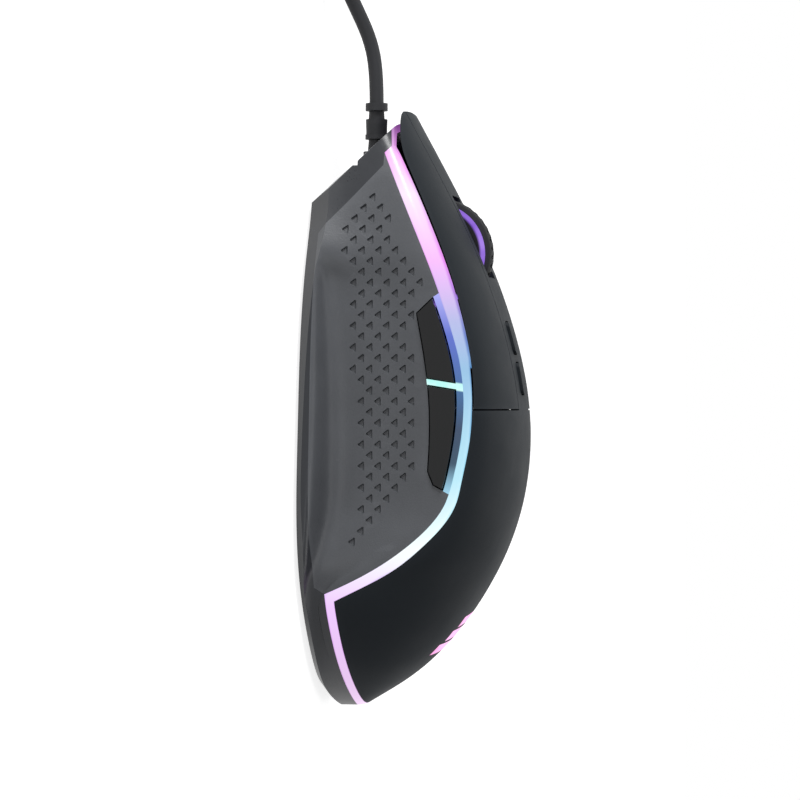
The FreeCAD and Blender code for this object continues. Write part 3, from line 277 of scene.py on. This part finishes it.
def lit_bezel():
    """Light guide round the thumb buttons: a blue band, and a pale divider between the two buttons."""
    g = Graph("bezel_light")
    stops = [(-24, (170, 170, 245)), (-15, (80, 100, 200)), (-4, (40, 95, 150)), (4, (15, 50, 85)),
             (11, (15, 60, 85)), (17, (150, 205, 230))]
    band = g.ramp(along(g), [(share(y), linear(colour)) for y, colour in stops])
    middle = g.math("ADD", g.math("MULTIPLY", g.math("SUBTRACT", g.axis("Z"), 29.0 * MM), 0.16), -5.2 * MM)
    near = g.math("ABSOLUTE", g.math("SUBTRACT", g.axis("Y"), middle))
    divider = g.spread(near, 0.95 * MM, 0.6 * MM)
    tint = g.mix(g.spread(g.noise(2.2 * MM), 0.35, 0.65), linear((176, 248, 240)), linear((214, 255, 250)))
    g.set(Base_Color=(0.015, 0.02, 0.03, 1), Emission_Color=g.mix(divider, band, tint), Roughness=0.12)
    return switch_on(g, 0.003 * MM)


def lit_rings():
    """The wheel's cheeks: dark, with a narrow lit line just inside the tyre."""
    low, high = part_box("wheel_ring_left")
    g = Graph("wheel_ring_light")
    out_y = g.math("SUBTRACT", g.axis("Y"), (low.y + high.y) / 2)
    out_z = g.math("SUBTRACT", g.axis("Z"), (low.z + high.z) / 2)
    radius = g.math("SQRT", g.math("ADD", g.math("MULTIPLY", out_y, out_y), g.math("MULTIPLY", out_z, out_z)))
    edge = (high.z - low.z) / 2
    line = g.spread(radius, edge - 1.1 * MM, edge - 0.6 * MM)
    tint = g.mix(g.spread(g.noise(4 * MM), 0.3, 0.7), linear((128, 84, 206)), linear((166, 128, 232)))
    g.set(Base_Color=g.mix(g.noise(0.5 * MM), linear((20, 20, 24)), linear((30, 30, 34))), Roughness=0.4,
          Emission_Color=g.mix(line, (0, 0, 0, 1), tint))
    g.shader.inputs["Specular IOR Level"].default_value = 0.2
    return switch_on(g, 0.004 * MM)


def lit_emblem():
    g = Graph("emblem_light")
    cloud = g.spread(g.noise(4 * MM), 0.3, 0.7)
    g.set(Base_Color=(0.02, 0.02, 0.02, 1), Roughness=0.3,
          Emission_Color=g.mix(cloud, linear((244, 122, 204)), linear((240, 168, 232))))
    return switch_on(g, 0.004 * MM)


def board_material():
    g = Graph("circuit_board")
    weave = g.noise(0.8 * MM, 2.0, (1, 3, 1))
    tracks = g.node("ShaderNodeTexWave", wave_type="BANDS")
    tracks.inputs["Scale"].default_value = 260
    tracks.inputs["Distortion"].default_value = 3.0
    g.feed(tracks.inputs["Vector"], g.position())
    lines = g.spread(tracks.outputs["Fac"], 0.72, 0.8)
    green = g.mix(weave, linear((16, 66, 40)), linear((24, 84, 52)))
    g.set(Base_Color=g.mix(lines, green, linear((60, 120, 74))), Roughness=0.35)
    g.bump(lines, 0.03 * MM)
    return g.material


def clear_material():
    g = Graph("clear_lens")
    g.set(Base_Color=g.mix(g.noise(3 * MM), (0.9, 0.92, 0.95, 1), (0.97, 0.98, 1.0, 1)), Roughness=0.04)
    g.shader.inputs["Transmission Weight"].default_value = 0.9
    g.shader.inputs["IOR"].default_value = 1.49
    g.bump(g.noise(1.5 * MM), 0.004 * MM)
    return g.material


def steel_material():
    g = Graph("bright_steel")
    brushed = g.noise(0.25 * MM, 3.0, (1, 0.05, 1))
    tone = g.mix(brushed, linear((176, 178, 182)), linear((214, 215, 218)))
    g.set(Base_Color=tone, Metallic=1.0, Roughness=g.spread(brushed, 0.2, 0.8, 0.2, 0.34))
    g.bump(brushed, 0.004 * MM)
    return g.material


# ---------------------------------------------------------------- pieces

def finish_piece(name, mesh, body, material, replaced=()):
    piece = bpy.data.objects.new(name, mesh)
    SCENE.collection.objects.link(piece)
    piece.data.materials.clear()
    piece.data.materials.append(material)
    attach(piece, body)
    if replaced:
        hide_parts(*replaced)
    return piece


def soften(piece, width):
    """Rounds a CAD node's sharp edges with modifiers, which leave its own mesh as it is."""
    weld = piece.modifiers.new("weld", "WELD")
    weld.merge_threshold = 0.003 * MM
    rounded = piece.modifiers.new("rounded_edges", "BEVEL")
    rounded.width = width * MM
    rounded.segments = 3
    rounded.limit_method = "ANGLE"
    rounded.angle_limit = math.radians(35)
    rounded.use_clamp_overlap = True
    rounded.harden_normals = False


def welded_copy(node):
    """A copy of a CAD node's mesh with its vertices joined, as a bmesh."""
    made = bmesh.new()
    made.from_mesh(NODES[node].data)
    bmesh.ops.remove_doubles(made, verts=made.verts, dist=0.002 * MM)
    return made


def facet_normals(mesh, angle):
    """Smooth shading that breaks at edges sharper than the angle, without the normals the mesh came with."""
    for name in [a.name for a in mesh.attributes if a.name in ("custom_normal", "sharp_edge", "sharp_face")]:
        mesh.attributes.remove(mesh.attributes[name])
    mesh.set_sharp_from_angle(angle=math.radians(angle))


DIMPLE_ROW = 2.19
DIMPLE_COLUMN = 3.4
DIMPLE_FIRST = (-43.3, 14.1)
DIMPLE_LENGTH = 2.3
DIMPLE_WIDTH = 1.6
DIMPLE_DEPTH = 0.5
DIMPLE_ROWS = 36
DIMPLE_COLUMNS = range(-6, 7)
# How large the cutter's outline is at its top and bottom, and how deep each sinks into the surface.
DIMPLE_LEVELS = [(1.12, -0.25), (0.62, DIMPLE_DEPTH)]
CORNER_SHARE = 0.14
OUTSIDE = 60
# The outline of the dimpled field on the panel, as places in Y and Z.
DIMPLE_FIELD = [(-44.6, 14.1), (-36, 7.6), (-30.5, 7.6), (-27, 10.2), (-10, 10.5), (10, 12), (22, 11.5),
                (30, 9.5), (29, 12), (20, 17.5), (14, 22.5), (4, 23.6), (-10, 22.8), (-17.5, 21.2),
                (-21.5, 24.6), (-24, 25.4), (-34, 20.5)]


def inside(point, outline):
    """Whether a point lies in a closed outline, by how often a line from it crosses a side."""
    odd = False
    for (y0, z0), (y1, z1) in zip(outline, outline[1:] + outline[:1]):
        if (z0 > point[1]) != (z1 > point[1]):
            if point[0] < (y1 - y0) * (point[1] - z0) / (z1 - z0) + y0:
                odd = not odd
    return odd


def dimple_places():
    """Middles of the dimples, in rows that are staggered by half a step, where they lie in the field."""
    first_y, first_z = DIMPLE_FIRST
    found = []
    for row in range(DIMPLE_ROWS):
        for column in DIMPLE_COLUMNS:
            y = first_y + row * DIMPLE_ROW
            z = first_z + (column + 0.5 * (row % 2)) * DIMPLE_COLUMN
            if inside((y, z), DIMPLE_FIELD):
                found.append((y, z))
    return found


def triangle_outline(scale):
    """A triangle with small rounded corners, its point toward the table, as steps in Y and Z."""
    corners = [(0, -0.5 * DIMPLE_WIDTH), (0.5 * DIMPLE_LENGTH, 0.5 * DIMPLE_WIDTH),
               (-0.5 * DIMPLE_LENGTH, 0.5 * DIMPLE_WIDTH)]
    centre = (0, 0.12 * DIMPLE_WIDTH)
    found = []
    for index, corner in enumerate(corners):
        before, after = corners[index - 1], corners[(index + 1) % 3]
        for other in (before, after):
            found.append((corner[0] + CORNER_SHARE * (other[0] - corner[0]),
                          corner[1] + CORNER_SHARE * (other[1] - corner[1])))
    return [(centre[0] + scale * (y - centre[0]), centre[1] + scale * (z - centre[1])) for y, z in found]


def dimpled_panel(node, side):
    """A side panel with its field of triangular grip dimples cut in, each square to the surface."""
    panel = welded_copy(node)
    tree = BVHTree.FromBMesh(panel)
    cutters = bmesh.new()

    def on_surface(y, z, sink):
        hit, normal, _, _ = tree.ray_cast(Vector((side * OUTSIDE, y, z)) * MM, Vector((-side, 0, 0)))
        if hit is None:
            return None
        return hit - normal * sink * MM

    for y, z in dimple_places():
        rings = []
        for scale, sink in DIMPLE_LEVELS:
            points = [on_surface(y + dy, z + dz, sink) for dy, dz in triangle_outline(scale)]
            if None in points:
                break
            rings.append([cutters.verts.new(p) for p in points])
        if len(rings) < 2:
            continue
        top, bottom = rings
        count = len(top)
        cutters.faces.new(top)
        cutters.faces.new(bottom[::-1])
        for k in range(count):
            cutters.faces.new((top[k], bottom[k], bottom[(k + 1) % count], top[(k + 1) % count]))
    loose = [v for v in cutters.verts if not v.link_faces]
    bmesh.ops.delete(cutters, geom=loose, context="VERTS")
    bmesh.ops.triangulate(cutters, faces=cutters.faces)
    bmesh.ops.recalc_face_normals(cutters, faces=cutters.faces)
    mesh = bpy.data.meshes.new(node + "_dimpled")
    panel.to_mesh(mesh)
    tool_mesh = bpy.data.meshes.new("dimple_cutters")
    cutters.to_mesh(tool_mesh)
    tool = bpy.data.objects.new("dimple_cutters", tool_mesh)
    SCENE.collection.objects.link(tool)
    holder = bpy.data.objects.new("dimple_holder", mesh)
    SCENE.collection.objects.link(holder)
    cut = holder.modifiers.new("dimples", "BOOLEAN")
    cut.operation = "DIFFERENCE"
    cut.solver = "EXACT"
    cut.object = tool
    bpy.context.view_layer.update()
    done = bpy.data.meshes.new_from_object(holder.evaluated_get(bpy.context.evaluated_depsgraph_get()))
    bpy.data.objects.remove(holder)
    bpy.data.objects.remove(tool)
    facet_normals(done, 22)
    return done


TYRE_RIBS = 40
TYRE_THICKNESS = 1.85
TREAD_HALF = 0.58
GROOVE_DEPTH = 0.62
# Depth of the tread at each step from one rib to the next, as a share of GROOVE_DEPTH.
GROOVE_SHAPE = (0.0, 0.0, 0.0, 0.55, 1.0, 0.55)
# Across the tyre as a share of its half width, and outward as a share of its thickness.
TYRE_PROFILE = [(-1.0, 0.0), (-1.0, 0.62), (-0.94, 0.84), (-0.8, 0.93), (-0.66, 0.95), (-TREAD_HALF, 1.0),
                (0.0, 1.0), (TREAD_HALF, 1.0), (0.66, 0.95), (0.8, 0.93), (0.94, 0.84), (1.0, 0.62),
                (1.0, 0.0)]


def ribbed_tyre():
    """The rubber tyre: a rounded band with a row of crosswise ribs and two plain shoulders."""
    low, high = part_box("wheel_tyre")
    centre = (low + high) / 2
    outer = (high.z - low.z) / 2
    half = (high.x - low.x) / 2
    inner = outer - TYRE_THICKNESS * MM
    steps = len(GROOVE_SHAPE) * TYRE_RIBS
    made = bmesh.new()
    rings = []
    for step in range(steps):
        angle = 2 * math.pi * step / steps
        groove = GROOVE_SHAPE[step % len(GROOVE_SHAPE)]
        ring = []
        for across, rise in TYRE_PROFILE:
            radius = inner + rise * (outer - inner)
            if abs(across) <= TREAD_HALF:
                radius -= groove * GROOVE_DEPTH * MM
            ring.append(made.verts.new(centre + Vector((across * half, radius * math.cos(angle),
                                                        radius * math.sin(angle)))))
        rings.append(ring)
    count = len(TYRE_PROFILE)
    for step in range(steps):
        here, there = rings[step], rings[(step + 1) % steps]
        for k in range(count):
            made.faces.new((here[k], here[(k + 1) % count], there[(k + 1) % count], there[k]))
    bmesh.ops.recalc_face_normals(made, faces=made.faces)
    mesh = bpy.data.meshes.new("tyre")
    made.to_mesh(mesh)
    facet_normals(mesh, 38)
    return mesh


# ---------------------------------------------------------------- cord

# Points of the lead's route, in millimetres.
LEAD_START = [(0, -64.593, 10.7), (0, -71.093, 10.7), (0.5, -78.093, 9.5), (2.6, -85.593, 6.3),
              (7, -93.093, 3.3), (14, -99.093, 2.2), (21.5, -104.093, 2.1), (27.8, -109.593, 2.1),
              (30.5, -115.093, 2.1), (30.5, -121.093, 2.1), (30.5, -127.5, 2.1)]
LEAD_END = [(-1, -155.593, 11.1), (-4, -155.593, 11.1), (-9, -155.593, 11.1), (-16, -153.993, 9.9),
            (-21, -150.193, 8.1), (-24, -145.093, 5.7), (-24.75, -139.593, 3.8), (-24.75, -134.093, 3.8)]
COIL_CENTRE = (8.0, -133.093)
COIL_LAYERS = [2.1, 5.1, 8.1, 11.1]
COIL_RADII = [22.5, 19.5, 16.5, 13.5]
TURN_STEPS = 16
FULL_TURNS = 15
# A spline runs inside the corners of its own points; the turns' points stand this much further out.
CORNER_CUT = 1 / 0.981


def eased(value, low, high):
    """0 below low, 1 above high, and a smooth rise between them."""
    t = min(1.0, max(0.0, (value - low) / (high - low)))
    return t * t * (3 - 2 * t)


def coil_place(turn):
    """Radius and height of the winding after so many turns: each turn lies beside or on the last one."""
    whole = int(turn)
    part = turn - whole
    order = [r for layer in range(4) for r in (COIL_RADII if layer % 2 == 0 else COIL_RADII[::-1])]
    heights = [z for z in COIL_LAYERS for _ in COIL_RADII]
    following = min(whole + 1, len(order) - 1)
    radius = order[whole] + (order[following] - order[whole]) * eased(part, 0.8, 1.0)
    height = heights[whole] + (heights[following] - heights[whole]) * eased(part, 0.55, 0.8)
    return radius, height


def cord_points():
    """The lead's whole route: out to the coil, round its turns, and on to the plug."""
    points = [Vector(p) for p in LEAD_START]
    for step in range(1, FULL_TURNS * TURN_STEPS + TURN_STEPS // 4):
        turn = step / TURN_STEPS
        radius, height = coil_place(turn)
        angle = -2 * math.pi * turn
        reach = radius * CORNER_CUT if step > 2 else radius
        points.append(Vector((COIL_CENTRE[0] + reach * math.cos(angle),
                              COIL_CENTRE[1] + reach * math.sin(angle), height)))
    return points + [Vector(p) for p in LEAD_END]


def lead(material):
    """The lead as one round spline from the strain relief to the plug."""
    data = bpy.data.curves.new("usb_lead", "CURVE")
    data.dimensions = "3D"
    data.bevel_depth = 1.5 * MM
    data.bevel_resolution = 5
    data.resolution_u = 5
    spline = data.splines.new("NURBS")
    points = cord_points()
    spline.points.add(len(points) - 1)
    for point, place in zip(spline.points, points):
        point.co = (*(place * MM), 1.0)
    spline.order_u = 3
    spline.use_endpoint_u = True
    data.materials.append(material)
    piece = bpy.data.objects.new("usb_lead", data)
    SCENE.collection.objects.link(piece)
    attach(piece, "housing")
    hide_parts("lead_tube", "lead_coil", "lead_tail")


# ---------------------------------------------------------------- stage and light

FLOOR_HALF = 0.85
FLOOR_GLOW = 0.8
WORLD_ON_OBJECT = 0.16
WORLD_SEEN = 1.0
LAMP_AIM = Vector((0, 0, 0.015))
# Name, place, size and power of each square lamp.
LAMPS = [("key", (0.4, -0.9, 0.25), 0.45, 11.5), ("side", (0.9, 0.25, 0.4), 0.6, 1.2),
         ("overhead", (-0.2, 0.1, 0.95), 0.8, 2.5)]


def stage():
    """A pale floor that looks white to the camera and keeps the mouse's shadow."""
    data = bpy.data.meshes.new("floor")
    half = FLOOR_HALF
    corners = [(-half, -half, 0), (half, -half, 0), (half, half, 0), (-half, half, 0)]
    data.from_pydata(corners, [], [(0, 1, 2, 3)])
    floor = bpy.data.objects.new("floor", data)
    SCENE.collection.objects.link(floor)
    g = Graph("floor")
    seen = seen_directly(g)
    g.set(Base_Color=(0.7, 0.7, 0.7, 1), Roughness=0.9, Emission_Color=(1, 1, 1, 1))
    g.shader.inputs["Specular IOR Level"].default_value = 0.0
    g.feed(g.shader.inputs["Emission Strength"], g.math("MULTIPLY", seen, FLOOR_GLOW))
    data.materials.append(g.material)


def seen_directly(g):
    """1 for rays from the camera and for those that metal, gloss or glass sends on, else 0."""
    path = g.node("ShaderNodeLightPath")
    both = g.math("MAXIMUM", path.outputs["Is Camera Ray"], path.outputs["Is Glossy Ray"])
    return g.math("MAXIMUM", both, path.outputs["Is Transmission Ray"])


def world():
    """A white background that lights the object only a little."""
    made = bpy.data.worlds.new("studio")
    SCENE.world = made
    made.use_nodes = True
    tree = made.node_tree
    background = tree.nodes["Background"]
    path = tree.nodes.new("ShaderNodeLightPath")
    first = tree.nodes.new("ShaderNodeMath")
    first.operation = "MAXIMUM"
    second = tree.nodes.new("ShaderNodeMath")
    second.operation = "MAXIMUM"
    level = tree.nodes.new("ShaderNodeMapRange")
    level.inputs["To Min"].default_value = WORLD_ON_OBJECT
    level.inputs["To Max"].default_value = WORLD_SEEN
    tree.links.new(path.outputs["Is Camera Ray"], first.inputs[0])
    tree.links.new(path.outputs["Is Glossy Ray"], first.inputs[1])
    tree.links.new(first.outputs[0], second.inputs[0])
    tree.links.new(path.outputs["Is Transmission Ray"], second.inputs[1])
    tree.links.new(second.outputs[0], level.inputs["Value"])
    tree.links.new(level.outputs[0], background.inputs["Strength"])
    background.inputs["Color"].default_value = (1, 1, 1, 1)


def lamp(name, place, size, power):
    data = bpy.data.lights.new(name, "AREA")
    data.shape = "SQUARE"
    data.size = size
    data.energy = power
    made = bpy.data.objects.new(name, data)
    made.location = place
    made.rotation_euler = (LAMP_AIM - Vector(place)).to_track_quat("-Z", "Y").to_euler()
    SCENE.collection.objects.link(made)


camera()
stage()
world()
for lamp_settings in LAMPS:
    lamp(*lamp_settings)

soft_black = plastic("soft_touch_black", (30, 34, 38), 0.6, grain=0.22 * MM, depth=0.012 * MM, mottle=0.06,
                     wear=0.1, specular=0.1)
panel_black = plastic("grained_side_plastic", (76, 78, 82), 0.38, grain=0.32 * MM, depth=0.03 * MM,
                      mottle=0.1, wear=0.1, specular=0.34)
base_black = plastic("smooth_base_plastic", (24, 27, 33), 0.3, grain=0.5 * MM, depth=0.003 * MM, mottle=0.05,
                     wear=0.12, specular=0.42)
gloss = plastic("gloss_black", (10, 11, 13), 0.1, grain=1.2 * MM, depth=0.002 * MM, mottle=0.04, wear=0.1,
                specular=0.16, coat=0.2)
jacket = plastic("cable_jacket", (34, 35, 38), 0.52, grain=0.4 * MM, depth=0.02 * MM, mottle=0.1, wear=0.2,
                 specular=0.3)
rubber = plastic("tyre_rubber", (30, 31, 33), 0.7, grain=0.25 * MM, depth=0.02 * MM, mottle=0.12, wear=0.3,
                 specular=0.22)
component = plastic("component_plastic", (24, 25, 27), 0.45, grain=0.3 * MM, depth=0.012 * MM)
plunger = plastic("plunger_plastic", (206, 204, 196), 0.42, grain=0.4 * MM, depth=0.01 * MM, mottle=0.05)
inner = plastic("inner_plastic", (42, 44, 48), 0.5, grain=0.5 * MM, depth=0.015 * MM)
glide = plastic("glide_plastic", (38, 38, 40), 0.34, grain=0.8 * MM, depth=0.01 * MM, mottle=0.1,
                stretch=(1, 0.15, 1), specular=0.3)
strap = plastic("tie_strap", (30, 30, 32), 0.6, grain=0.5 * MM, depth=0.05 * MM, mottle=0.2,
                stretch=(0.3, 1, 1))
insulator = plastic("plug_insulator", (232, 232, 228), 0.4, grain=0.5 * MM, depth=0.005 * MM, mottle=0.03)
steel = steel_material()
strip = lit_strip()
bezel = lit_bezel()
rings = lit_rings()
emblem = lit_emblem()
board = board_material()
clear = clear_material()

lead(jacket)

FINISHES = {
    soft_black: ["palm_cover", "left_button", "right_button", "centre_spine", "dpi_up_button",
                 "dpi_down_button"],
    base_black: ["base_shell"],
    gloss: ["front_thumb_button", "rear_thumb_button"],
    jacket: ["strain_relief", "inner_lead", "usb_plug_grip"],
    component: ["left_main_switch", "right_main_switch", "front_thumb_switch", "rear_thumb_switch",
                "wheel_switch", "dpi_up_switch", "dpi_down_switch", "sensor_chip", "controller_chip",
                "lead_header", "wheel_encoder"],
    plunger: ["left_plunger", "right_plunger", "wheel_plunger"],
    inner: ["wheel_hub", "wheel_carrier", "wheel_bracket"],
    glide: ["front_glide", "rear_glide"],
    strap: ["coil_tie"],
    insulator: ["usb_plug_insulator"],
    steel: ["usb_plug_shell", "wheel_axle", "wheel_pivot_pin", "case_screw_1", "case_screw_2",
            "board_screws"],
    strip: ["light_strip"],
    bezel: ["thumb_bezel"],
    rings: ["wheel_ring_left", "wheel_ring_right"],
    emblem: ["palm_emblem"],
    board: ["main_pcb", "side_pcb", "dpi_pcb"],
    clear: ["sensor_lens", "strip_lamps"],
}
for material, names in FINISHES.items():
    for name in names:
        for slot in NODES[name].material_slots:
            slot.material = material

# Nodes whose sharp edges are rounded, and by how many millimetres.
ROUNDED = {"front_thumb_button": 0.35, "rear_thumb_button": 0.35, "dpi_up_button": 0.3,
           "dpi_down_button": 0.3, "usb_plug_grip": 0.4, "front_glide": 0.15, "rear_glide": 0.15}
for name, width in ROUNDED.items():
    soften(NODES[name], width)
for node, side in (("left_side_panel", 1), ("right_side_panel", -1)):
    finish_piece(node + "_grip", dimpled_panel(node, side), "housing", panel_black, [node])
finish_piece("ribbed_tyre", ribbed_tyre(), "wheel", rubber, ["wheel_tyre"])

SCENE.view_settings.view_transform = "Standard"
